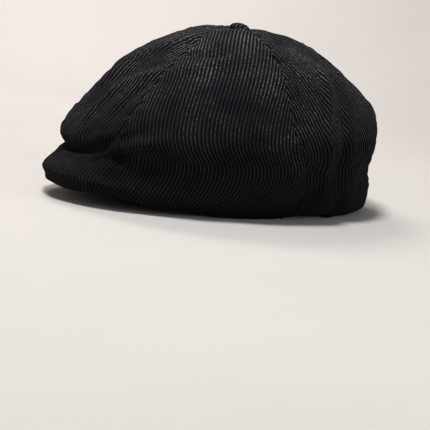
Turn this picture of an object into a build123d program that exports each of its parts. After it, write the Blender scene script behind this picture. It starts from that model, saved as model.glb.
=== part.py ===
from build123d import *
import math
import os
from collections import namedtuple

# A six-panel newsboy cap in fine-wale corduroy with a covered button on top. Its front three
# panels are pulled over a stiff arched brim, and a lining and a sweatband hang inside.
#
# Millimetres. +Z is up, the brim points to -Y and +X is the wearer's left. The origin is the
# centre of the head opening, in the plane that the cap stands on: the hem at the sides and back.

# Driving dimensions
CORDUROY = 1.4          # cloth thickness
LINING = 0.5
SWEATBAND = 0.9
STIFFENER = 0.7
BOARD = 1.6             # brim stiffener sheet
BRIM_PAD = 2.4
UNDER_CLOTH = 1.2       # cloth on the underside of the brim
PANELS = 6
PANEL_ARC = 360 / PANELS
SEAM_LEAN = 13          # degrees that the crown's side seams lean back by the time they reach the hem
FIT = 0.2               # how closely a sheet keeps to its rows of points
SEAM_GAP = 0.2          # half the clearance left between neighbouring panels
SEAT_WIDTH = 84.0       # outside of the sweatband: half width, then reach to front and back
SEAT_REACH = 101.0
SWEATBAND_HEIGHT = 30
BUTTON_DIAMETER = 17.5
BUTTON_HEIGHT = 6.0
BUTTON_TILT = 8         # degrees, leaning towards the back
BRIM_HALF_ARC = 68      # degrees each side of the front that the brim board spans

# A closed line round the cap: the half width, the reach to the front and to the back of its own
# centre, that centre's place along Y, how much fuller than an ellipse the front corners are, and
# the heights at 0, 45, 90, 135 and 180 degrees from the front, the same on both sides.
Line = namedtuple("Line", "width front back centre corner heights")

CROWN_LINES = [
    Line(0, 0, 0, 14, 0, (148, 148, 148, 148, 148)),      # apex, under the button
    Line(42, 36, 46, 8, 0, (143, 144, 147, 146, 144)),    # top of the crown
    Line(90, 80, 76, 7, 0, (121, 122, 125, 129, 133)),    # shoulder
    Line(114, 114, 113, 8, 0, (90, 94, 97, 102, 107)),
    Line(124, 142, 132, 9, 0, (56, 62, 64, 74, 84)),      # fullest line of the puff
    Line(114, 135, 135, 6, 0, (39, 45, 42, 40, 36)),      # crease where the puff meets the brim
    Line(103, 147, 139, 2, 0, (27, 23, 18, 9, 7)),        # shoulder of the brim, slouch behind
    Line(88, 147, 107, 0, 0.06, (17, 12, 0, 4, 0)),       # brim edge in front, hem elsewhere
]
LINING_LINES = [
    Line(0, 0, 0, 14, 0, (142, 142, 142, 142, 142)),
    Line(40, 34, 44, 8, 0, (137, 138, 141, 140, 138)),
    Line(85, 75, 71, 7, 0, (114, 115, 118, 122, 126)),
    Line(107, 106, 105, 8, 0, (88, 90, 92, 96, 100)),
    Line(114, 130, 121, 9, 0, (66, 66, 66, 70, 76)),
    Line(103, 119, 119, 4, 0, (56, 52, 44, 42, 40)),
    Line(86.0, 103.6, 103.6, 0, 0, (48.5, 27, 5, 9, 6)),  # caught behind the sweatband
]
SEAT_LINE = Line(SEAT_WIDTH, SEAT_REACH, SEAT_REACH, 0, 0, (45, 23, 1, 5, 1))
BRIM_LINES = [
    Line(86, 106, 106, 0, 0, (41, 20, 3, 3, 3)),          # root, along the head opening
    Line(87, 125, 106, 0, 0.03, (33.5, 18.5, 4, 4, 4)),   # crown of the brim's curve
    Line(86, 142, 106, 0, 0.05, (20, 13.5, 3, 3, 3)),     # tip
]
UNDER_LINES = [
    Line(85, 102.4, 103, 0, 0, (39, 18.5, 1.6, 3, 3)),
    Line(86, 124, 103, 0, 0.03, (30.5, 16, 1.8, 3, 3)),
    Line(85.6, 144.4, 103, 0, 0.05, (16.2, 11, 1.5, 3, 3)),
]


def hermite(points, place):
    """The point at place 0..len-1 on the smooth curve through the points."""
    last = len(points) - 1
    i = min(int(place), last - 1)
    f = place - i
    before = points[i - 1] if i else points[0] * 2 - points[1]
    after = points[i + 2] if i + 2 <= last else points[last] * 2 - points[last - 1]
    slope_0 = (points[i + 1] - before) * 0.5
    slope_1 = (after - points[i]) * 0.5
    start = points[i] * (2 * f**3 - 3 * f**2 + 1) + slope_0 * (f**3 - 2 * f**2 + f)
    return start + points[i + 1] * (3 * f**2 - 2 * f**3) + slope_1 * (f**3 - f**2)


def height_at(heights, angle):
    """The height of a line at an angle in degrees, measured either way round from the front."""
    turn = abs((angle + 180) % 360 - 180)
    mirrored = [heights[1], *heights, heights[3]]
    return hermite([Vector(0, 0, h) for h in mirrored], 1 + turn / 45).Z


def on_line(line, angle):
    """The point of a line at an angle in degrees from the front towards the wearer's left."""
    a = math.radians(angle)
    front = math.cos(a) > 0
    fuller = 1 + line.corner * math.sin(2 * a) ** 2 if front else 1
    reach = line.front if front else line.back
    x = line.width * math.sin(a) * fuller
    y = line.centre - reach * math.cos(a) * fuller
    return Vector(x, y, height_at(line.heights, angle))


def on_surface(lines, angle, level):
    """The point of the surface through the lines: level 0 is the first line, 1 the last."""
    return hermite([on_line(line, angle) for line in lines], level * (len(lines) - 1))


def spread(low, high, count):
    return [low + (high - low) * i / (count - 1) for i in range(count)]


def cloth(rows, thickness):
    """A sheet with its outer face through rows of points, each row running anticlockwise."""
    face = Face.make_surface_from_array_of_points(rows, tol=FIT, min_deg=3, max_deg=3)
    across = rows[len(rows) // 2][1] - rows[len(rows) // 2][0]
    down = rows[1][0] - rows[0][0]
    inward = face.normal_at(rows[0][0]).dot(across.cross(down)) > 0
    return Solid.thicken(face, thickness if inward else -thickness)


def raised(rows, distance):
    """Rows of points moved outwards along the normals of the surface that they lie on."""
    moved = []
    for i, row in enumerate(rows):
        above, below = rows[max(i - 1, 0)], rows[min(i + 1, len(rows) - 1)]
        line = []
        for j, point in enumerate(row):
            across = row[min(j + 1, len(row) - 1)] - row[max(j - 1, 0)]
            line.append(point + (below[j] - above[j]).cross(across).normalized() * distance)
        moved.append(line)
    return moved


def leaning(angle, place, lean):
    """An angle on a dome whose side seams lean back below its fullest part."""
    share = min(max((place - 3.2) / 2.6, 0), 1)
    side = math.sin(math.radians(angle))
    return angle + lean * side * abs(side) * share * share * (3 - 2 * share)


def panel(lines, middle, thickness, top_level, lean=0, rows=25, columns=9):
    """One gore of a dome between two seams, from near the apex down to its last line."""
    def at(angle, level):
        return on_surface(lines, leaning(angle, level * (len(lines) - 1), lean), level)
    grid = []
    for level in spread(top_level, 1, rows):
        centre = on_surface(lines, middle, level)
        radius = max(math.hypot(centre.X, centre.Y - lines[0].centre), 1)
        half = PANEL_ARC / 2 - math.degrees(SEAM_GAP / radius)
        grid.append([at(middle + a, level) for a in spread(-half, half, columns)])
    return cloth(grid, thickness)


def band(line, thickness, low, high, start, stop, columns=49):
    """An upright strip that follows a line, from low to high above it."""
    def row(rise):
        return [on_line(line, angle) + Vector(0, 0, rise) for angle in spread(start, stop, columns)]
    return cloth([row(rise) for rise in spread(high, low, 4)], thickness)


def grown(line, by):
    """A line moved outwards by a distance."""
    return line._replace(width=line.width + by, front=line.front + by, back=line.back + by)


def brim_layer(lines, thickness, lift, half_arc, rows=9, columns=33):
    """A crescent sheet that narrows to the horns, with its top raised off the lines by lift."""
    grid = []
    for share in spread(0, 1, rows):
        row = []
        for angle in spread(-half_arc, half_arc, columns):
            past = max(0, abs(angle) - 45) / (half_arc - 45)
            narrowing = 1 - 0.6 * past * past * (3 - 2 * past)
            row.append(on_surface(lines, angle, share * narrowing))
        grid.append(row)
    return cloth(raised(grid, lift), thickness)


def turned(profile):
    """The solid swept by a closed profile of radius and height points about the button's axis."""
    face = make_face(Plane.XZ * Polyline(*profile, close=True))
    solid = revolve(face, Axis.Z)
    apex = on_line(CROWN_LINES[0], 0)
    return Pos(*apex) * Rot(-BUTTON_TILT, 0, 0) * solid


def dome(radius, height, base, steps=10):
    """Points of a button's rounded top, from its axis out to its rim."""
    angles = spread(90, 0, steps)
    return [
        (radius * math.cos(math.radians(a)), base + (height - base) * math.sin(math.radians(a)))
        for a in angles
    ]


def dome_shell(radius, height, base, thickness):
    """The profile of a domed cup, open below."""
    outer = dome(radius, height, base)
    inner = dome(radius - thickness, height - thickness, base)
    return outer + inner[::-1]


def button():
    """The covered button: cloth, metal shell, back plate and the thread that holds it on."""
    radius = BUTTON_DIAMETER / 2
    base = 1.0
    cover = dome_shell(radius, BUTTON_HEIGHT, base, 1.2)
    shell = dome_shell(radius - 1.3, BUTTON_HEIGHT - 1.3, base + 0.2, 0.5)
    plate = [(1.3, 1.5), (radius - 2.6, 1.5), (radius - 2.6, 2.3), (1.3, 2.3)]
    thread = [(0, -5), (3, -5), (3, -3.8), (1.1, -3.4), (1.1, 3.0), (0, 3.0)]
    return {
        "button_cover": turned(cover),
        "button_shell": turned(shell),
        "button_back_plate": turned(plate),
        "button_thread": turned(thread),
    }


def crown():
    names = ["front", "left_front", "left_rear", "rear", "right_rear", "right_front"]
    parts = {}
    for i, name in enumerate(names):
        middle = i * PANEL_ARC
        parts[f"crown_{name}_panel"] = panel(CROWN_LINES, middle, CORDUROY, 0.015, SEAM_LEAN)
        parts[f"lining_{name}_panel"] = panel(LINING_LINES, middle, LINING, 0.015)
    return parts


def brim():
    return {
        "brim_board": brim_layer(BRIM_LINES, BOARD, 0, BRIM_HALF_ARC),
        "brim_pad": brim_layer(BRIM_LINES, BRIM_PAD, BRIM_PAD + 0.1, BRIM_HALF_ARC),
        "brim_underside_cover": brim_layer(UNDER_LINES, UNDER_CLOTH, 0, BRIM_HALF_ARC + 12),
    }


def headband():
    """The sweatband, meeting end to end behind, and what is hidden or sewn on round it."""
    behind = grown(SEAT_LINE, 1.2)
    within = grown(SEAT_LINE, -SWEATBAND - 0.2)
    return {
        "sweatband": band(SEAT_LINE, SWEATBAND, 0, SWEATBAND_HEIGHT, -179.7, 179.7, 97),
        "sweatband_stiffener": band(behind, STIFFENER, 5, 27, -140, 140),
        "rear_elastic": band(behind, STIFFENER, 10, 18, 146, 214, 17),
        "size_tab": band(within, 0.4, 8, 20, 150, 162, 5),
        "care_label": band(within, 0.4, 22, 50, -112, -94, 7),
    }


def main():
    os.makedirs("parts", exist_ok=True)
    for name, solid in {**crown(), **brim(), **headband(), **button()}.items():
        export_step(solid, f"parts/{name}.step")


main()
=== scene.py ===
import math

import bpy
import numpy as np
from mathutils import Matrix, Vector


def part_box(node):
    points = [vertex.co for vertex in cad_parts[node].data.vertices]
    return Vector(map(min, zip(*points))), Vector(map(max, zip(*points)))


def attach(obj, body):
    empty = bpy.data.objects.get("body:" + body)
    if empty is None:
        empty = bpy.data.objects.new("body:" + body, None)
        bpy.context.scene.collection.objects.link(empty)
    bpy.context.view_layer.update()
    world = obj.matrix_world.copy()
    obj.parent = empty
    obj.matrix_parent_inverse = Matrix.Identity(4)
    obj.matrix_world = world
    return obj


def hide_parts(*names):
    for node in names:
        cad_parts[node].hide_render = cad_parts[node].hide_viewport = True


# A black corduroy newsboy cap. The CAD frame gives the sizes and hidden pieces; this script makes
# the cloth: panels with real wales, seams and folds, the lining, the sweatband and the button.
# Metres. The brim points to -Y, and angles are degrees from the front towards the wearer's left.

MM = 0.001
WALE = 3.05 * MM            # one rib and its groove
WALE_STEPS = 6              # columns of vertices across one wale
RIB = 0.72 * MM             # how far a rib stands above its groove
ROW_STEP = 2.1 * MM         # spacing of vertices along a wale
PANEL_HALF_ARC = 30         # degrees from a panel's middle to its seam
SEAM_LEAN = 13              # degrees that the side seams lean back by the time they reach the hem
SEAM_DEPTH = 1.1 * MM
EDGE_IN = 2.4 * MM          # how far the lower corner of the brim's edge is rounded off
PUFF = 0.9 * MM             # how far a panel's middle swells out between its seams
SEAT_TURN = 0.6             # bottom hem of the sweatband, mm above the seat line
SIDES = ("front", "left_front", "left_rear", "rear", "right_rear", "right_front")

# The cap's lines, as the CAD design has them, in millimetres: half width, reach to the front and
# to the back of the line's own centre, that centre along Y, fullness of the front corners, and
# the heights at 0, 45, 90, 135 and 180 degrees.
CROWN_LINES = (
    (0, 0, 0, 14, 0, (148, 148, 148, 148, 148)),
    (42, 36, 46, 8, 0, (143, 144, 147, 146, 144)),
    (90, 80, 76, 7, 0, (121, 122, 125, 129, 133)),
    (114, 114, 113, 8, 0, (90, 94, 97, 102, 107)),
    (124, 142, 132, 9, 0, (56, 62, 64, 74, 84)),
    (114, 135, 135, 6, 0, (39, 45, 42, 40, 36)),
    (103, 147, 139, 2, 0, (27, 23, 18, 9, 7)),
    (88, 147, 107, 0, 0.06, (17, 12, 0, 4, 0)),
)
LINING_LINES = (
    (0, 0, 0, 14, 0, (142, 142, 142, 142, 142)),
    (40, 34, 44, 8, 0, (137, 138, 141, 140, 138)),
    (85, 75, 71, 7, 0, (114, 115, 118, 122, 126)),
    (107, 106, 105, 8, 0, (88, 90, 92, 96, 100)),
    (114, 130, 121, 9, 0, (66, 66, 66, 70, 76)),
    (103, 119, 119, 4, 0, (56, 52, 44, 42, 40)),
    (86, 103.6, 103.6, 0, 0, (48.5, 27, 5, 9, 6)),
)
UNDER_LINES = (
    (85, 102.4, 103, 0, 0, (38.5, 18, 1.3, 3, 3)),
    (86, 124, 103, 0, 0.03, (29.6, 15, 1.4, 3, 3)),
    (85.6, 144.4, 103, 0, 0.05, (14.6, 9.6, 1.0, 3, 3)),
)
SEAT_LINE = (83.1, 100.1, 100.1, 0, 0, (45, 23, 1, 5, 1))

# Folds of the worn cloth: points (angle, line number) along the fold, then its half width and its
# height in millimetres, below 0 for a groove. Line numbers count CROWN_LINES from the apex.
FOLDS = (
    (((25, 0.7), (14, 1.45), (2, 1.9), (-7, 2.3), (-12, 2.8), (-13, 3.3), (-10, 3.7)), 4.5, -7.0),
    (((30, 0.8), (21, 1.35), (11, 1.85), (2, 2.3), (-2, 2.8), (-3, 3.3)), 4.5, 3.0),      # its near lip
    (((-14, 0.9), (-20, 1.5), (-23, 2.1), (-22, 2.7), (-18, 3.3), (-13, 3.8)), 7, 0.6),  # and far side
    (((30, 2.3), (22, 2.55), (13, 2.75), (11, 3.1), (9, 3.5), (9, 3.9)), 4.5, 3.2),     # down to the puff
    (((28, 2.6), (23, 3.1), (22, 3.6), (26, 3.9)), 5.5, -3.2),
    (((14, 2.2), (5, 2.7), (4, 3.3)), 4.5, -1.4),
    (((28, 1.7), (36, 1.8), (46, 1.87), (56, 1.8), (61, 1.6)), 4.2, -3.4),            # below the button
    (((34, 1.3), (45, 1.45), (56, 1.45)), 6, 1.4),
    (((32, 2.15), (44, 2.25), (54, 2.1)), 6, 1.0),
    (((-34, 4.9), (0, 4.85), (13, 4.8), (21, 4.55), (29, 4.2), (37, 3.95), (46, 3.75)), 4.5, -3.0),
    (((-20, 5.3), (6, 5.2), (18, 5.22), (25, 4.9), (31, 4.5), (38, 4.3), (46, 4.1), (55, 3.85)), 3.6, 3.0),
    (((38, 4.8), (52, 4.5), (68, 4.3)), 10, 1.2),
    (((62, 4.1), (76, 4.0), (88, 4.1)), 10, -1.4),
    (((120, 1.9), (116, 2.4), (108, 3.15), (104, 3.75), (106, 4.5), (110, 5.2), (112, 6.0)), 4.5, 3.8),
    (((128, 2.0), (124, 2.6), (117, 3.2), (113, 3.8), (115, 4.6), (119, 5.3), (121, 6.2)), 6.5, -4.6),
    (((96, 2.0), (100, 2.7), (97, 3.4)), 6, -1.2),
    (((68, 1.8), (71, 2.6), (71, 3.4)), 6, -0.8),
    (((134, 2.6), (140, 3.6), (142, 4.4)), 9, 2.0),
    (((128, 5.2), (142, 5.0), (158, 4.9), (180, 5.1), (200, 5.0)), 8, -1.4),
    (((126, 6.2), (140, 6.1), (160, 6.0), (185, 6.0), (212, 5.7)), 9, 2.6),
    (((122, 6.7), (132, 6.75), (145, 6.7), (158, 6.6)), 10, 6.0),                     # slouch past the hem
    (((102, 6.9), (110, 6.95), (117, 6.9)), 7, -3.0),
    (((12, 4.35), (17, 4.0), (18, 3.6)), 5, -1.2),
    (((-28, 2.4), (-20, 3.0), (-12, 3.6), (-10, 4.2)), 15, -3.4),
    (((-36, 2.5), (-28, 3.1), (-23, 3.6), (-19, 4.1)), 13, -3.2),
    (((118, 1.5), (138, 2.2), (150, 2.7), (160, 2.9)), 12, -2.6),
    (((96, 0.5), (126, 0.6), (160, 0.7)), 8, 1.0),
    (((5, 5.7), (20, 5.8), (34, 5.6)), 7, 1.0),
    (((205, 1.6), (212, 2.6), (214, 3.6)), 7, -2.6),                    # the side out of sight
    (((226, 2.2), (232, 3.2), (236, 4.6)), 8, 2.4),
    (((246, 2.6), (250, 3.8), (252, 5.4)), 7, -3.0),
    (((262, 3.4), (278, 4.2), (296, 4.4)), 7, -2.2),
    (((300, 1.5), (312, 1.9), (322, 2.1)), 5, -2.4),
    (((308, 4.4), (320, 4.6), (333, 4.9)), 6, -2.2),
    (((292, 3.0), (304, 3.5), (318, 3.7)), 8, 1.8),
)


# ---------------------------------------------------------------- surfaces

def smooth_step(x):
    x = np.clip(x, 0, 1)
    return x * x * (3 - 2 * x)


def hermite(p0, p1, p2, p3, f):
    """The curve from p1 to p2 at share f, with slopes from the neighbours p0 and p3."""
    start = (2 * f**3 - 3 * f**2 + 1) * p1 + (f**3 - 2 * f**2 + f) * (p2 - p0) / 2
    return start + (3 * f**2 - 2 * f**3) * p2 + (f**3 - f**2) * (p3 - p1) / 2


def line_points(line, angles):
    """Points of a line at angles in degrees, as an array of x, y, z in metres."""
    width, front, back, centre, corner, heights = line
    a = np.radians(angles)
    ahead = np.cos(a) > 0
    fuller = 1 + np.where(ahead, corner * np.sin(2 * a) ** 2, 0)
    turn = np.abs((angles + 180) % 360 - 180) / 45
    h = np.array([heights[1], *heights, heights[3]], float)
    i = np.clip(turn.astype(int), 0, 3)
    z = hermite(h[i], h[i + 1], h[i + 2], h[i + 3], turn - i)
    x = width * np.sin(a) * fuller
    y = centre - np.where(ahead, front, back) * np.cos(a) * fuller
    return np.stack([x, y, z], -1) * MM


def surface(lines, angles, place):
    """Points of the surface through the lines at line numbers `place`, 0 for the first line."""
    angles, place = np.broadcast_arrays(np.asarray(angles, float), np.asarray(place, float))
    flat = angles.ravel()
    points = np.array([line_points(line, flat) for line in lines])
    points = np.concatenate([2 * points[:1] - points[1:2], points, 2 * points[-1:] - points[-2:-1]])
    i = np.clip(place.ravel().astype(int), 0, len(lines) - 2)
    f = (place.ravel() - i)[:, None]
    n = np.arange(len(flat))
    found = hermite(points[i, n], points[i + 1, n], points[i + 2, n], points[i + 3, n], f)
    return found.reshape(*angles.shape, 3)


def unit(v):
    return v / np.maximum(np.linalg.norm(v, axis=-1, keepdims=True), 1e-12)


def slopes(lines, angles, place):
    """Directions round and down the surface, and its outward normal."""
    last = len(lines) - 1
    round_it = surface(lines, angles + 0.25, place) - surface(lines, angles - 0.25, place)
    high, low = np.clip(place - 0.02, 0, last), np.clip(place + 0.02, 0, last)
    down = surface(lines, angles, low) - surface(lines, angles, high)
    return unit(round_it), unit(down), unit(np.cross(down, round_it))


def fold_height(points, angles):
    """How far the folds push points of the crown out, in metres."""
    total = np.zeros(points.shape[:-1])
    for path, width, height in FOLDS:
        way = np.array(path, float)
        steps = np.linspace(0, len(way) - 1, 8 * (len(way) - 1) + 1)
        t = np.interp(steps, range(len(way)), way[:, 0])
        k = np.interp(steps, range(len(way)), way[:, 1])
        spots = surface(CROWN_LINES, t, k)
        nearest = np.full(points.shape[:-1], 9.0)
        along = np.zeros(points.shape[:-1])
        for n in range(len(spots) - 1):
            a, ab = spots[n], spots[n + 1] - spots[n]
            u = np.clip(((points - a) @ ab) / (ab @ ab), 0, 1)
            d = np.linalg.norm(points - a - u[..., None] * ab, axis=-1)
            along = np.where(d < nearest, (n + u) / (len(spots) - 1), along)
            nearest = np.minimum(nearest, d)
        fade = smooth_step(along / 0.22) * smooth_step((1 - along) / 0.22) * 0.85 + 0.15
        total += height * MM * fade * np.exp(-(nearest / (width * MM)) ** 2)
    return total


def ripple(points, size, height, seed, count=14):
    """Soft random waves of about that size through space, the same for every piece."""
    rng = np.random.default_rng(seed)
    ways = unit(rng.normal(size=(count, 3))) * rng.uniform(0.6, 1.7, (count, 1)) * 2 * math.pi / size
    shifts = rng.uniform(0, 2 * math.pi, count)
    waves = np.sin(points @ ways.T + shifts)
    return height * waves.sum(-1) / math.sqrt(count / 2)


def rib_height(across):
    """A wale's rounded height above its groove, at a distance across the wales."""
    share = (across / WALE) % 1
    return RIB * (1 - np.abs(2 * share - 1) ** 2.4)


# ---------------------------------------------------------------- meshes

def new_object(name, points, faces, material, uv=None, smooth=True):
    mesh = bpy.data.meshes.new(name)
    mesh.from_pydata([tuple(p) for p in np.asarray(points, float)], [], faces)
    if uv is not None:
        layer = mesh.uv_layers.new(name="Cloth")
        at = np.empty(len(mesh.loops), np.int32)
        mesh.loops.foreach_get("vertex_index", at)
        layer.data.foreach_set("uv", np.asarray(uv, np.float32)[at].ravel())
    if smooth:
        mesh.polygons.foreach_set("use_smooth", [True] * len(mesh.polygons))
    mesh.materials.append(material)
    mesh.update()
    piece = bpy.data.objects.new(name, mesh)
    bpy.context.collection.objects.link(piece)
    return piece


def grid_faces(ids):
    """Faces between neighbouring rows of vertex numbers, leaving out corners that coincide."""
    faces = []
    for above, below in zip(ids[:-1], ids[1:]):
        for a, b, c, d in zip(above[:-1], above[1:], below[1:], below[:-1]):
            ring = [v for v, after in zip((a, d, c, b), (d, c, b, a)) if v != after]
            if len(set(ring)) == len(ring) >= 3:
                faces.append(ring)
    return faces


def grid_object(name, points, material, uv=None, closed=False):
    """A mesh through a grid of points, joined round its columns if it is closed."""
    rows, columns = points.shape[:2]
    ids = np.arange(rows * columns).reshape(rows, columns)
    if closed:
        ids = np.concatenate([ids, ids[:, :1]], 1)
    flat_uv = None if uv is None else uv.reshape(-1, 2)
    return new_object(name, points.reshape(-1, 3), grid_faces(ids.tolist()), material, flat_uv)


def thicken(piece, thickness, offset=-1):
    solid = piece.modifiers.new("thickness", "SOLIDIFY")
    solid.thickness = thickness
    solid.offset = offset
    return piece


# ---------------------------------------------------------------- panels

def even_places(lines, middle, top, step):
    """Line numbers down a panel's middle, a step apart in metres."""
    fine = np.linspace(top, len(lines) - 1, 400)
    way = surface(lines, np.full(400, float(middle)), fine)
    run = np.concatenate([[0], np.cumsum(np.linalg.norm(np.diff(way, axis=0), axis=1))])
    count = int(run[-1] / step) + 1
    return np.interp(np.linspace(0, run[-1], count), run, fine), run[-1]


def leaning(angles, place, lean):
    """Angles on a dome whose side seams lean back below its fullest part."""
    side = np.sin(np.radians(angles))
    return angles + lean * side * np.abs(side) * smooth_step((place - 3.2) / 2.6)


def gore_grid(lines, middle, top, column_step, row_step, lean=0):
    """A gore laid out like its flat cut: columns run parallel to its middle and end at the seams.

    Returns the places of its rows and, for each row, distances across and matching angles.
    """
    places, length = even_places(lines, middle, top, row_step)
    fans = [leaning(middle + np.linspace(-PANEL_HALF_ARC, PANEL_HALF_ARC, 61), p, lean) for p in places]
    rows = []
    for place, fan in zip(places, fans):
        way = surface(lines, fan, np.full(61, place))
        run = np.concatenate([[0], np.cumsum(np.linalg.norm(np.diff(way, axis=0), axis=1))])
        rows.append(run - run[30])
    widest = max(max(-r[0], r[-1]) for r in rows)
    reach = int(widest / column_step) + 1
    columns = np.arange(-reach, reach + 1) * column_step
    across = np.array([np.clip(columns, r[0], r[-1]) for r in rows])
    angles = np.array([np.interp(c, r, fan) for c, r, fan in zip(across, rows, fans)])
    to_seam = np.array([np.minimum(c - r[0], r[-1] - c) for c, r in zip(across, rows)])
    half = np.array([(r[-1] - r[0]) / 2 for r in rows])[:, None]
    return places, length, across, angles, to_seam, half


def gore_object(name, points, across, along, material, inner):
    """The gore's mesh. Columns past a seam share the seam's vertex, and a strip turns inwards."""
    rows, columns = across.shape
    ids = np.empty((rows, columns + 2), int)
    kept, uv = [], []
    for j in range(rows):
        low = int(np.searchsorted(across[j], across[j, 0], "right")) - 1
        high = int(np.searchsorted(across[j], across[j, -1], "left"))
        first = len(kept)
        kept.append(inner[j, 0])
        uv.append((across[j, 0] - 2 * MM, along[j]))
        for k in range(low, high + 1):
            kept.append(points[j, k])
            uv.append((across[j, k], along[j]))
        kept.append(inner[j, 1])
        uv.append((across[j, -1] + 2 * MM, along[j]))
        ids[j, 0] = first
        ids[j, 1:-1] = first + 1 + np.clip(np.arange(columns) - low, 0, high - low)
        ids[j, -1] = first + 2 + high - low
    return new_object(name, kept, grid_faces(ids.tolist()), material, uv)


def turned_under(angles):
    """How much of the panel's edge wraps the brim, 1, rather than turning up as a hem, 0."""
    side = np.abs((angles + 180) % 360 - 180)
    return smooth_step((78 - side) / 16)


def edge_rows(angles):
    """Rows that carry a panel round its lower edge: under the brim, or up inside as a hem."""
    last = float(len(CROWN_LINES) - 1)
    place = np.full(len(angles), last)
    edge = surface(CROWN_LINES, angles, place)
    round_it, down, out = slopes(CROWN_LINES, angles, place)
    brim = turned_under(angles)[:, None]
    edge = edge - EDGE_IN * brim * out
    under = unit(surface(UNDER_LINES, angles, 1.2) - surface(UNDER_LINES, angles, 2.0))
    hem = (edge + 1.5 * MM * down, edge + 1.5 * MM * down - 2.4 * MM * out,
           edge - 2.4 * MM * out - 5 * MM * down)
    turn = np.abs((angles + 180) % 360 - 180)
    drop = 3.4 * smooth_step((34 - turn) / 16) + 3.4 * np.exp(-((turn - 61) / 12) ** 2) + 0.4
    sag = np.outer(drop * MM, (0, 0, -1))
    lip = (edge + 2.2 * MM * down - 1.2 * MM * out + sag, edge + 3.4 * MM * down + 3.4 * MM * under + sag,
           edge + 1.8 * MM * down + 8 * MM * under + 0.4 * sag)
    one, two, end = ((1 - brim) * h + brim * b for h, b in zip(hem, lip))
    rows, normals = [], []
    for s in np.linspace(0, 1, 9)[1:]:
        rows.append((1 - s) ** 3 * edge + 3 * s * (1 - s) ** 2 * one
                    + 3 * s * s * (1 - s) * two + s**3 * end)
        way = 3 * (1 - s) ** 2 * (one - edge) + 6 * s * (1 - s) * (two - one) + 3 * s * s * (end - two)
        normals.append(unit(np.cross(way, round_it)))
    return np.array(rows), np.array(normals)


def crown_panel(side, middle, material):
    places, length, across, angles, to_seam, half = gore_grid(
        CROWN_LINES, middle, 0.09, WALE / WALE_STEPS, ROW_STEP, SEAM_LEAN)
    grid = np.broadcast_to(places[:, None], across.shape)
    base = surface(CROWN_LINES, angles, grid)
    _, _, out = slopes(CROWN_LINES, angles, grid)
    along = np.linspace(0, length, len(places))
    under, under_out = edge_rows(angles[-1])
    extra = len(under)
    base = np.concatenate([base, under])
    out = np.concatenate([out, under_out])
    along = np.concatenate([along, length + 1.2 * MM * np.arange(1, extra + 1)])
    across = np.concatenate([across, np.repeat(across[-1:], extra, 0)])
    to_seam = np.concatenate([to_seam, np.repeat(to_seam[-1:], extra, 0)])
    half = np.concatenate([half, np.repeat(half[-1:], extra, 0)])
    angles = np.concatenate([angles, np.repeat(angles[-1:], extra, 0)])
    quiet = np.ones(len(along))
    quiet[-extra - 6:-extra] = np.linspace(1, 0.35, 6)
    quiet[-extra:] = np.linspace(0.35, 0, extra)
    quiet = quiet[:, None]
    near_top = smooth_step(along / (14 * MM))[:, None]

    push = quiet * fold_height(base, angles)
    push += quiet * ripple(base, 46 * MM, 0.55 * MM, 3) + quiet * ripple(base, 17 * MM, 0.22 * MM, 4)
    push += quiet * PUFF * near_top * np.sin(np.clip(to_seam / half, 0, 1) * math.pi / 2)
    place = np.concatenate([places, np.full(extra, 7.0)])[:, None]
    brim = turned_under(angles)
    seam = 1 - 0.75 * brim * smooth_step((place - 4.1) / 0.8)
    push -= SEAM_DEPTH * near_top * seam * np.exp(-(to_seam / (1.7 * MM)) ** 2)
    rounded = 2.0 * MM * np.exp(-((place - 6.3) / 0.38) ** 2)
    rounded = rounded - EDGE_IN * np.clip((place - 6.4) / 0.6, 0, 1) ** 2
    rounded[-extra:] = 0
    push += brim * rounded
    pucker = 0.6 * np.sin(2 * math.pi * along / (9.5 * MM) + 1.0)[:, None]
    pucker = pucker + np.sin(2 * math.pi * along / (18.5 * MM) + 2.0)[:, None]
    push += quiet * near_top * 0.75 * MM * pucker * np.exp(-(to_seam / (6.5 * MM)) ** 2)
    push += rib_height(across) * (0.25 + 0.75 * near_top)
    points = base + push[..., None] * out
    points[..., 2] = np.maximum(points[..., 2], 0.2 * MM)
    inner = np.stack([points[:, 0] - 2.6 * MM * out[:, 0], points[:, -1] - 2.6 * MM * out[:, -1]], 1)
    piece = gore_object(f"crown_{side}_cloth", points, across, along, material, inner)
    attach(piece, "root")
    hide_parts(f"crown_{side}_panel")
    return piece


def lining_panel(side, middle, material):
    places, length, across, angles, to_seam, half = gore_grid(
        LINING_LINES, middle, 0.05, 3.0 * MM, 4.0 * MM)
    grid = np.broadcast_to(places[:, None], across.shape)
    base = surface(LINING_LINES, angles, grid)
    _, _, out = slopes(LINING_LINES, angles, grid)
    along = np.linspace(0, length, len(places))
    low = smooth_step((length - along) / (25 * MM))[:, None]
    top = smooth_step(along / (20 * MM))[:, None]
    push = top * low * (ripple(base, 34 * MM, 0.55 * MM, 8) + ripple(base, 13 * MM, 0.2 * MM, 9) - 0.6 * MM)
    gather = np.sin(across / (4.2 * MM) + 1.3 * np.sin(along / (9 * MM))[:, None])
    push += 0.35 * MM * gather * (1 - low) * top
    push += 0.9 * MM * top * np.exp(-(to_seam / (2.2 * MM)) ** 2)
    points = base + push[..., None] * out
    inner = np.stack([points[:, 0] + 1.2 * MM * out[:, 0], points[:, -1] + 1.2 * MM * out[:, -1]], 1)
    piece = gore_object(f"lining_{side}_cloth", points, across, along, material, inner)
    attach(piece, "root")
    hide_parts(f"lining_{side}_panel")
    return piece


# ---------------------------------------------------------------- brim, band, button, trims

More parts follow.
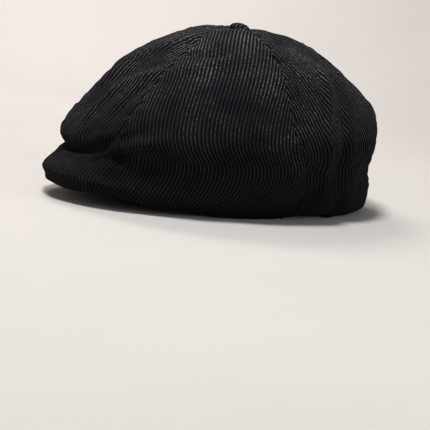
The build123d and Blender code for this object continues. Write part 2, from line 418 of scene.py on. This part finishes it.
def under_cover(material):
    """The cloth on the underside of the brim, its wales running from the head to the tip."""
    fan = np.linspace(-80, 80, 161)
    columns = np.arange(-183, 184) * (WALE / WALE_STEPS)
    columns = columns[np.abs(columns) < 84 * MM]
    places = np.linspace(0, 2, 34)
    points, across, smooth = [], [], []
    for turned_up, drawn_in in ((6.0, 1.6), (3.5, 1.5), (1.6, 1.3), (0.6, 0.9)):
        root = UNDER_LINES[0]
        line = (root[0] - drawn_in, root[1] - drawn_in, *root[2:])
        way = line_points(line, fan)
        row = line_points(line, np.interp(columns, way[:, 0], fan))
        row[:, 2] += (turned_up - 1.0) * MM
        points.append(row)
        across.append(columns)
    for place in places:
        way = surface(UNDER_LINES, fan, np.full(161, place))
        angle = np.interp(columns, way[:, 0], fan)
        row = surface(UNDER_LINES, angle, np.full(len(angle), place))
        smooth.append(row)
        _, _, up = slopes(UNDER_LINES, angle, np.full(len(angle), place))
        near_edge = smooth_step((place - 1.86) / 0.14)
        push = -rib_height(columns) - ripple(row, 30 * MM, 0.18 * MM, 5) + near_edge * 1.4 * MM
        points.append(row + push[:, None] * up)
        across.append(columns)
    points = np.array(points)
    along = np.concatenate([[-6, -3.5, -1.6, -0.6], places * 22]) * MM
    uv = np.stack([np.array(across), np.repeat(along[:, None], len(columns), 1)], -1)
    piece = grid_object("brim_underside_cloth", points, material, uv)
    piece.data.flip_normals()
    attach(piece, "root")
    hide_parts("brim_underside_cover")
    smooth = np.array(smooth)
    root = smooth[0]
    return piece


def band_point(angles, rise, inward=0.0):
    """Points on the inside of the sweatband, rise above its lower edge."""
    base = line_points(SEAT_LINE, angles)
    ahead = line_points(SEAT_LINE, angles + 0.25) - line_points(SEAT_LINE, angles - 0.25)
    flat = np.stack([ahead[..., 1], -ahead[..., 0], np.zeros(angles.shape)], -1)
    out = unit(flat)
    return base - out * np.expand_dims(np.broadcast_to(inward, angles.shape), -1) + np.stack(
        [np.zeros(angles.shape), np.zeros(angles.shape), np.broadcast_to(rise, angles.shape)], -1), out


def sweatband(material):
    """A folded twill tape with a rounded top edge, drawn in behind by the elastic."""
    angles = np.linspace(-179.6, 179.6, 721)
    height = 30 * MM
    profile = [(0.0, 0.9), (-0.5, 0.5), (0.0, 0.0), (2, 0.05), (3.4, -0.18), (5, 0.12), (9, 0.25),
               (14, 0.3), (19, 0.25), (24, 0.12), (26.4, -0.18), (28, 0.1), (29.4, 0.15),
               (30.2, 0.55), (29.6, 0.95)]
    back = smooth_step((np.abs(angles) - 138) / 16)
    pleat = 0.5 * MM * back * np.sin(2 * math.pi * angles / 3.1 + 0.8 * np.sin(angles / 4))
    rows, run = [], []
    for rise, off in profile:
        z = SEAT_TURN * MM + (height - 1.4 * MM) * rise / 30
        point, out = band_point(angles, z, 0.0)
        wave = ripple(point, 30 * MM, 0.16 * MM, 6) * min(max(rise, 0) / 4, 1)
        shift = off * MM + wave + pleat * (0.4 + 0.6 * math.sin(math.pi * min(max(rise, 0) / 30, 1)))
        if off > 0.4:
            shift = np.full(angles.shape, off * MM)
        rows.append(point + out * shift[:, None])
        run.append(z)
    points = np.array(rows)
    girth = np.radians(angles) * 91 * MM
    uv = np.stack([np.repeat(girth[None], len(rows), 0), np.repeat(np.array(run)[:, None], len(angles), 1)], -1)
    piece = grid_object("sweatband_tape", points, material, uv)
    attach(piece, "root")
    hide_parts("sweatband")
    return piece


def stitches(name, rise, material, pitch=3.4 * MM, length=2.5 * MM):
    """A row of lockstitches along the inside of the sweatband."""
    angles = np.linspace(-179, 179, 4000)
    line, out = band_point(angles, rise, 0.2 * MM)
    run = np.concatenate([[0], np.cumsum(np.linalg.norm(np.diff(line, axis=0), axis=1))])
    points, faces = [], []
    for n in range(int(run[-1] / pitch)):
        spots = [np.interp(n * pitch + length * s, run, angles) for s in (0, 0.25, 0.5, 0.75, 1)]
        first = len(points)
        for s, angle in zip((0, 0.25, 0.5, 0.75, 1), spots):
            centre, side = band_point(np.array([angle]), rise, 0.0)
            thick = 0.24 * MM * (0.35 + 0.65 * math.sin(math.pi * (0.12 + 0.76 * s)))
            lift = 0.22 * MM * math.sin(math.pi * s) - 0.05 * MM
            for k in range(6):
                turn = k * math.pi / 3
                offset = -side[0] * (lift + thick * math.cos(turn))
                points.append(centre[0] + offset + np.array([0, 0, thick * math.sin(turn)]))
        for i in range(4):
            for k in range(6):
                a, b = first + 6 * i + k, first + 6 * i + (k + 1) % 6
                faces.append((a, b, b + 6, a + 6))
        faces.append(tuple(range(first, first + 6))[::-1])
        faces.append(tuple(range(first + 24, first + 30)))
    piece = new_object(name, points, faces, material)
    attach(piece, "root")
    return piece


def cloth_button(material):
    """The covered button: a domed disc of corduroy whose edge is gathered under it."""
    low, high = (np.array(v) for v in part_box("button_cover"))
    radius = (high[0] - low[0]) / 2
    tilt = math.radians(8)
    centre = Vector(((low[0] + high[0]) / 2, 14 * MM, 148 * MM))
    rings = [(0, 6.0)]
    for a in np.linspace(84, -20, 22):
        rings.append((math.cos(math.radians(a)), 1.6 + 4.4 * math.sin(math.radians(a))))
    rings += [(0.9, 0.2), (0.82, 0.0), (0.7, 0.1)]
    around = 144
    points, uv, ids = [], [], []
    for n, (share, height) in enumerate(rings):
        row = []
        for k in range(around):
            a = 2 * math.pi * k / around
            x, y = share * radius * math.cos(a), share * radius * math.sin(a)
            rib = float(rib_height(np.array(x))) * 0.8 * (1 if n < 20 else 0.4)
            tuck = 0.22 * MM * math.sin(15 * a) * smooth_step(np.array((n - 15) / 8)) if n > 12 else 0
            wide = 1 + float(tuck) / radius
            row.append(len(points))
            slope = smooth_step(np.array(share))
            points.append((x * wide + rib * float(slope) * math.cos(a) * 0.7,
                           y * wide + rib * float(slope) * math.sin(a) * 0.7,
                           height * MM + rib * (1 - 0.6 * float(slope)) - 0.5 * MM))
            uv.append((x, y))
        ids.append(row + row[:1])
    turn = Matrix.Translation(centre) @ Matrix.Rotation(-tilt, 4, "X") @ Matrix.Rotation(0.5, 4, "Z")
    points = [turn @ Vector(p) for p in points]
    piece = new_object("button_cloth", points, grid_faces(ids), material, uv)
    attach(piece, "root")
    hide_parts("button_cover")
    return piece


def label(name, node, low_angle, high_angle, low, high, material, free=0):
    """A small blank woven label, sewn along one edge; its free end, 0 low or 1 high, lifts a little."""
    angles = np.linspace(low_angle, high_angle, 17)
    rows = []
    for share in np.linspace(0, 1, 13):
        loose = 1 - abs(share - free)
        lift = 0.5 * MM + 1.3 * MM * loose ** 2 + 0.15 * MM * np.sin(angles)
        rows.append(band_point(angles, low + (high - low) * share, lift)[0])
    piece = thicken(grid_object(name, np.array(rows), material), 0.35 * MM, 0)
    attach(piece, "root")
    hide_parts(node)
    return piece


# ---------------------------------------------------------------- materials

def shader(name, colour, roughness, **sockets):
    material = bpy.data.materials.new(name)
    material.use_nodes = True
    tree = material.node_tree
    main = tree.nodes["Principled BSDF"]
    main.inputs["Base Color"].default_value = (*colour, 1)
    main.inputs["Roughness"].default_value = roughness
    for socket, value in sockets.items():
        main.inputs[socket.replace("_", " ")].default_value = value
    return material, tree, main


def node(tree, kind, **values):
    made = tree.nodes.new(kind)
    for key, value in values.items():
        if key in made.inputs:
            made.inputs[key].default_value = value
        else:
            setattr(made, key, value)
    return made


def math_node(tree, operation, a, b=None, c=None):
    made = node(tree, "ShaderNodeMath", operation=operation)
    for socket, value in zip(made.inputs, (a, b, c)):
        if value is None:
            continue
        if isinstance(value, (int, float)):
            socket.default_value = value
        else:
            tree.links.new(value, socket)
    return made.outputs[0]


def ramp(tree, factor, stops):
    made = node(tree, "ShaderNodeValToRGB")
    elements = made.color_ramp.elements
    while len(elements) < len(stops):
        elements.new(0.5)
    for element, (place, colour) in zip(elements, stops):
        element.position = place
        element.color = (*colour, 1)
    tree.links.new(factor, made.inputs["Fac"])
    return made.outputs["Color"]


def noise(tree, where, scale, detail=3.0, roughness=0.6):
    made = node(tree, "ShaderNodeTexNoise", Scale=scale, Detail=detail, Roughness=roughness)
    tree.links.new(where, made.inputs["Vector"])
    return made.outputs["Fac"]


def stretched(tree, source, scale):
    mapping = node(tree, "ShaderNodeMapping")
    mapping.inputs["Scale"].default_value = scale
    tree.links.new(source, mapping.inputs["Vector"])
    return mapping.outputs["Vector"]


def bump(tree, main, height, strength, distance):
    made = node(tree, "ShaderNodeBump", Strength=strength, Distance=distance)
    tree.links.new(height, made.inputs["Height"])
    tree.links.new(made.outputs["Normal"], main.inputs["Normal"])


def corduroy():
    """Black corduroy: painted highlights in specks on the pile of each wale, painted lighter towards the top
    as if lit from above, and painted shade keeping the ground between the wales dark."""
    material, tree, main = shader(
        "corduroy_black", (0.006, 0.006, 0.006), 0.8, Specular_IOR_Level=0.015,
        Sheen_Weight=0.1, Sheen_Roughness=0.45)
    main.inputs["Sheen Tint"].default_value = (0.72, 0.7, 0.72, 1)
    uv = node(tree, "ShaderNodeUVMap", uv_map="Cloth").outputs["UV"]
    place = node(tree, "ShaderNodeTexCoord").outputs["Object"]
    split = node(tree, "ShaderNodeSeparateXYZ")
    tree.links.new(uv, split.inputs["Vector"])
    wave = math_node(tree, "COSINE", math_node(tree, "MULTIPLY", split.outputs["X"], 2 * math.pi / WALE))
    crest = math_node(tree, "POWER", math_node(tree, "MULTIPLY_ADD", wave, -0.5, 0.5), 2.8)
    pile = noise(tree, stretched(tree, uv, (5200, 1500, 1)), 1.0, 3.0, 0.7)
    specks = noise(tree, stretched(tree, uv, (420, 520, 1)), 1.0, 2.0, 0.6)
    worn = noise(tree, place, 26.0, 3.0, 0.55)
    # Painted glints: highlight specks along the crests, stronger in the worn patches.
    painted_glint = math_node(tree, "MULTIPLY_ADD", specks, 2.4, -0.75)
    painted_glint = math_node(tree, "MULTIPLY", painted_glint, math_node(tree, "MULTIPLY_ADD", worn, 2.6, -0.45))
    lean = math_node(tree, "MULTIPLY", crest, math_node(tree, "MULTIPLY_ADD", pile, 0.5, 0.25))
    lean = math_node(tree, "MULTIPLY", lean, math_node(tree, "ADD", painted_glint, 0.6))
    # Painted top light: the crests' colour grows lighter the higher they stand, as if lit from above, so the
    # lower parts stay darker.
    height = node(tree, "ShaderNodeSeparateXYZ")
    tree.links.new(place, height.inputs["Vector"])
    painted_top_light = node(tree, "ShaderNodeMapRange")
    for socket, value in zip(painted_top_light.inputs[1:5], (0.015, 0.14, 0.62, 1.3)):
        socket.default_value = value
    tree.links.new(height.outputs["Z"], painted_top_light.inputs["Value"])
    lean = math_node(tree, "MULTIPLY", lean, painted_top_light.outputs["Result"])
    # Base colour: painted shade darkens the grooves between the wales and painted highlight lightens the crests;
    # the dust ramp then tints it by the worn patches.
    shade = ramp(tree, lean, ((0.0, (0.0043, 0.0045, 0.0052)), (0.2, (0.0072, 0.0073, 0.0081)),
                              (0.5, (0.021, 0.0206, 0.0217)), (1.0, (0.16, 0.156, 0.161))))
    dust = ramp(tree, worn, ((0.3, (0.7, 0.74, 0.84)), (0.5, (1, 1, 1)), (0.7, (1.2, 1.12, 1.06))))
    mix = node(tree, "ShaderNodeMix", data_type="RGBA", blend_type="MULTIPLY")
    mix.inputs["Factor"].default_value = 1
    tree.links.new(shade, mix.inputs["A"])
    tree.links.new(dust, mix.inputs["B"])
    tree.links.new(mix.outputs["Result"], main.inputs["Base Color"])
    tree.links.new(math_node(tree, "MULTIPLY", lean, 0.16), main.inputs["Sheen Weight"])
    bump(tree, main, math_node(tree, "MULTIPLY_ADD", pile, 0.5, lean), 0.5, 0.0005)
    return material


def satin():
    material, tree, main = shader("lining_satin", (0.014, 0.014, 0.016), 0.34,
                                  Specular_IOR_Level=0.5, Sheen_Weight=0.1)
    place = node(tree, "ShaderNodeTexCoord").outputs["Object"]
    uv = node(tree, "ShaderNodeUVMap", uv_map="Cloth").outputs["UV"]
    patch = noise(tree, place, 45.0, 3.0)
    shade = ramp(tree, patch, ((0.3, (0.009, 0.009, 0.011)), (0.7, (0.022, 0.022, 0.025))))
    tree.links.new(shade, main.inputs["Base Color"])
    weave = noise(tree, stretched(tree, uv, (900, 5200, 1)), 1.0, 2.0)
    bump(tree, main, weave, 0.25, 0.0002)
    return material


def twill():
    material, tree, main = shader("sweatband_twill", (0.02, 0.02, 0.022), 0.85,
                                  Specular_IOR_Level=0.2, Sheen_Weight=0.25)
    uv = node(tree, "ShaderNodeUVMap", uv_map="Cloth").outputs["UV"]
    split = node(tree, "ShaderNodeSeparateXYZ")
    tree.links.new(uv, split.inputs["Vector"])
    slant = math_node(tree, "ADD", split.outputs["X"], split.outputs["Y"])
    line = math_node(tree, "SINE", math_node(tree, "MULTIPLY", slant, 2 * math.pi / 0.0011))
    grain = noise(tree, uv, 2600.0, 2.0)
    height = math_node(tree, "ADD", line, grain)
    patch = noise(tree, uv, 55.0, 4.0)
    shade = ramp(tree, patch, ((0.25, (0.012, 0.012, 0.013)), (0.75, (0.03, 0.029, 0.029))))
    tree.links.new(shade, main.inputs["Base Color"])
    bump(tree, main, height, 0.45, 0.0003)
    return material


def plain_cloth(name, dark, light, roughness, scale, depth=0.0002):
    """Thread, felt, foam, elastic or label: one colour with grain."""
    material, tree, main = shader(name, light, roughness, Specular_IOR_Level=0.25, Sheen_Weight=0.15)
    place = node(tree, "ShaderNodeTexCoord").outputs["Object"]
    grain = noise(tree, place, scale, 4.0)
    tree.links.new(ramp(tree, grain, ((0.3, dark), (0.7, light))), main.inputs["Base Color"])
    bump(tree, main, grain, 0.5, depth)
    return material


def pressed_metal():
    material, tree, main = shader("button_metal", (0.72, 0.72, 0.74), 0.38, Metallic=1.0)
    place = node(tree, "ShaderNodeTexCoord").outputs["Object"]
    grain = noise(tree, place, 700.0, 4.0)
    tree.links.new(ramp(tree, grain, ((0.3, (0.6, 0.6, 0.62)), (0.7, (0.76, 0.76, 0.78)))),
                   main.inputs["Base Color"])
    bump(tree, main, grain, 0.15, 0.0001)
    return material


# ---------------------------------------------------------------- stage, light and camera

VIEW_ANGLE = 64             # degrees from the front towards the wearer's left
VIEW_RISE = 6
VIEW_ROLL = 5.5
VIEW_TILT = 3.78            # degrees that the camera looks below the cap
VIEW_DISTANCE = 1.1
LENS = 106.3
AIM = Vector((0, 0, 0.06))


def view_axes():
    """Right, up and back directions of a camera that looks at the cap from the view angle."""
    a, e, r = (math.radians(v) for v in (VIEW_ANGLE, VIEW_RISE, VIEW_ROLL))
    right = Vector((math.cos(a), math.sin(a), 0))
    back = Vector((math.sin(a) * math.cos(e), -math.cos(a) * math.cos(e), math.sin(e)))
    up = back.cross(right)
    return right * math.cos(r) + up * math.sin(r), up * math.cos(r) - right * math.sin(r), back


def camera():
    data = bpy.data.cameras.new("camera")
    data.lens = LENS
    data.sensor_width = 36
    data.dof.use_dof = False
    made = bpy.data.objects.new("camera", data)
    right, up, back = view_axes()
    place = AIM + back * VIEW_DISTANCE
    tilt = math.radians(VIEW_TILT)
    back, up = back * math.cos(tilt) + up * math.sin(tilt), up * math.cos(tilt) - back * math.sin(tilt)
    made.matrix_world = Matrix((
        (right.x, up.x, back.x, place.x), (right.y, up.y, back.y, place.y),
        (right.z, up.z, back.z, place.z), (0, 0, 0, 1)))
    bpy.context.collection.objects.link(made)
    bpy.context.scene.camera = made


def backdrop():
    """A pale sweep: floor, a wide curve and a wall behind the cap."""
    material, tree, main = shader("backdrop_paint", (0.42, 0.40, 0.385), 0.9, Specular_IOR_Level=0.1)
    place = node(tree, "ShaderNodeTexCoord").outputs["Object"]
    grain = noise(tree, place, 3.0, 3.0)
    tree.links.new(ramp(tree, grain, ((0.3, (0.41, 0.392, 0.376)), (0.7, (0.43, 0.41, 0.394)))),
                   main.inputs["Base Color"])
    profile = [(-3.0, 0.0), (-1.2, 0.0), (0.0, 0.0), (0.9, 0.0)]
    for a in np.linspace(0, 90, 13)[1:]:
        profile.append((0.9 + 0.7 * math.sin(math.radians(a)), 0.7 - 0.7 * math.cos(math.radians(a))))
    profile.append((1.6, 3.5))
    angle = math.radians(VIEW_ANGLE)
    right, away = Vector((math.cos(angle), math.sin(angle), 0)), Vector((-math.sin(angle), math.cos(angle), 0))
    rows = [[right * x + away * y + Vector((0, 0, z)) for x in (-4, 0, 4)] for y, z in profile]
    floor = grid_object("backdrop", np.array(rows), material)


def soft_light(name, aside, rise, nearer, size, power, colour, aim=AIM):
    """An area light at a place given from the viewer: to the right, up and towards the viewer."""
    data = bpy.data.lights.new(name, "AREA")
    data.shape = "DISK"
    data.size = size
    data.energy = power
    data.color = colour
    made = bpy.data.objects.new(name, data)
    angle = math.radians(VIEW_ANGLE)
    right = Vector((math.cos(angle), math.sin(angle), 0))
    near = Vector((math.sin(angle), -math.cos(angle), 0))
    made.location = right * aside + near * nearer + Vector((0, 0, rise))
    made.rotation_euler = (aim - made.location).to_track_quat("-Z", "Y").to_euler()
    bpy.context.collection.objects.link(made)


def lighting():
    world = bpy.data.worlds.new("room")
    bpy.context.scene.world = world
    world.use_nodes = True
    ground = world.node_tree.nodes["Background"]
    ground.inputs["Color"].default_value = (1.0, 0.985, 0.965, 1)
    ground.inputs["Strength"].default_value = 0.31
    soft_light("key", -0.2, 1.5, 0.5, 0.35, 31, (1.0, 0.985, 0.975))
    soft_light("window", -1.5, 0.6, 0.3, 0.7, 2.2, (1.0, 0.94, 0.89))
    soft_light("fill", 1.4, 0.45, 0.8, 1.0, 9.0, (0.84, 0.91, 1.0))
    away = Vector((-math.sin(math.radians(VIEW_ANGLE)), math.cos(math.radians(VIEW_ANGLE)), 0))
    soft_light("wall", -0.5, 1.5, -1.0, 0.8, 28, (1.0, 0.965, 0.93), away * 1.35 + Vector((0, 0, 0.15)))
    bpy.context.scene.view_settings.view_transform = "Standard"


# ---------------------------------------------------------------- the cap

def carry_over():
    """Materials for the CAD pieces that stay as they are: all sit between the cloths."""
    finishes = {
        "brim_board": plain_cloth("board_sheet", (0.78, 0.78, 0.76), (0.84, 0.84, 0.82), 0.5, 300.0),
        "brim_pad": plain_cloth("pad_wadding", (0.2, 0.2, 0.2), (0.34, 0.34, 0.34), 0.95, 500.0),
        "sweatband_stiffener": plain_cloth("stiffener_felt", (0.02, 0.02, 0.02), (0.04, 0.04, 0.04), 0.9, 600.0),
        "rear_elastic": plain_cloth("elastic_braid", (0.02, 0.02, 0.02), (0.05, 0.05, 0.05), 0.8, 900.0),
        "button_thread": plain_cloth("thread_black", (0.008, 0.008, 0.009), (0.03, 0.03, 0.03), 0.7, 1500.0),
    }
    metal = pressed_metal()
    finishes["button_shell"] = finishes["button_back_plate"] = metal
    for name, material in finishes.items():
        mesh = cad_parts[name].data
        mesh.materials.clear()
        mesh.materials.append(material)
    return finishes["button_thread"]


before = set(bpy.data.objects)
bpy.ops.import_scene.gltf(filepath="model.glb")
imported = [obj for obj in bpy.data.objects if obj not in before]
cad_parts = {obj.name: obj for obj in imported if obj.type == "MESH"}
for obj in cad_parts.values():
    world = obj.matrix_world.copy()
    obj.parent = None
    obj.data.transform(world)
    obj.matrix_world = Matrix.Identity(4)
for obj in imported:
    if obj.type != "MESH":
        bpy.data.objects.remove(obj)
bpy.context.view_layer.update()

cord, lining, tape = corduroy(), satin(), twill()
thread = carry_over()
paper = plain_cloth("label_weave", (0.62, 0.61, 0.58), (0.78, 0.77, 0.74), 0.75, 1400.0)
for number, side_name in enumerate(SIDES):
    crown_panel(side_name, 60 * number, cord)
    lining_panel(side_name, 60 * number, lining)
under_cover(cord)
sweatband(tape)
stitches("sweatband_lower_stitches", SEAT_TURN * MM + 28.6 * MM * 3.4 / 30, thread)
stitches("sweatband_upper_stitches", SEAT_TURN * MM + 28.6 * MM * 26.4 / 30, thread)
cloth_button(cord)
label("size_tab_cloth", "size_tab", 150, 162, 8 * MM, 20 * MM, paper)
label("care_label_cloth", "care_label", -112, -94, 22 * MM, 50 * MM, paper, free=1)
backdrop()
lighting()
camera()
